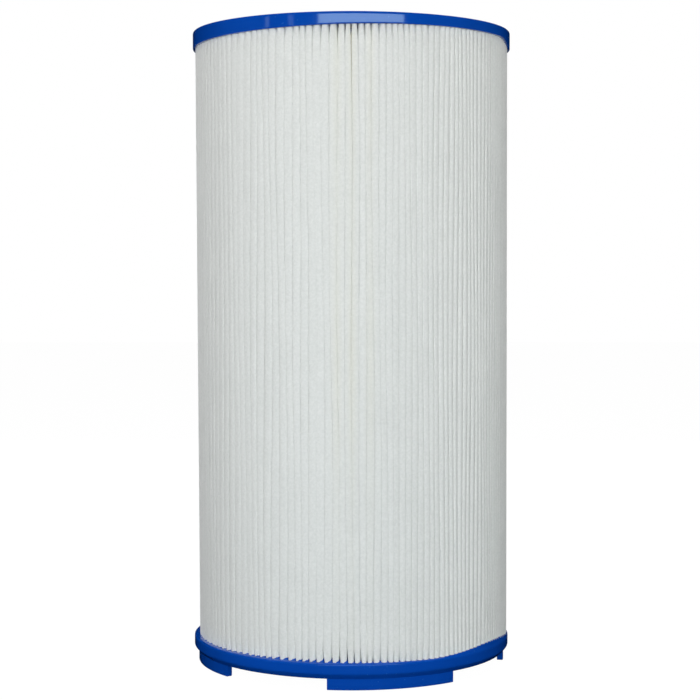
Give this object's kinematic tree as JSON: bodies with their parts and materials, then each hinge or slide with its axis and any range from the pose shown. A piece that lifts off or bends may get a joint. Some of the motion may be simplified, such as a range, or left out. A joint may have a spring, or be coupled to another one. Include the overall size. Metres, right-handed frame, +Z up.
{
  "type": "pleated filter cartridge",
  "caption": "Tall round pleated filter cartridge with moulded end caps, an open lattice core and standing lugs under the lower cap.",
  "frame": {"origin": "centre of the plane of the lugs' undersides, on the cartridge's axis", "axes": "+Z up along the axis towards the top cap; -Y is the front, and the valley with the adhesive bead faces it; +X is to the right seen from the front"},
  "size_m": [0.2158, 0.2158, 0.4278],
  "materials": {
    "end_cap": "cast polyurethane, smooth satin gloss",
    "media": "spunbond polyester sheet, matt",
    "adhesive": "translucent amber adhesive",
    "core": "natural moulded plastic"
  },
  "bodies": {
    "root": {"top_end_cap": "end_cap", "bottom_end_cap": "end_cap", "pleated_media": "media", "seam_bead": "adhesive", "core_section_1": "core", "core_section_2": "core", "core_section_3": "core", "core_section_4": "core"}
  },
  "joints": []
}
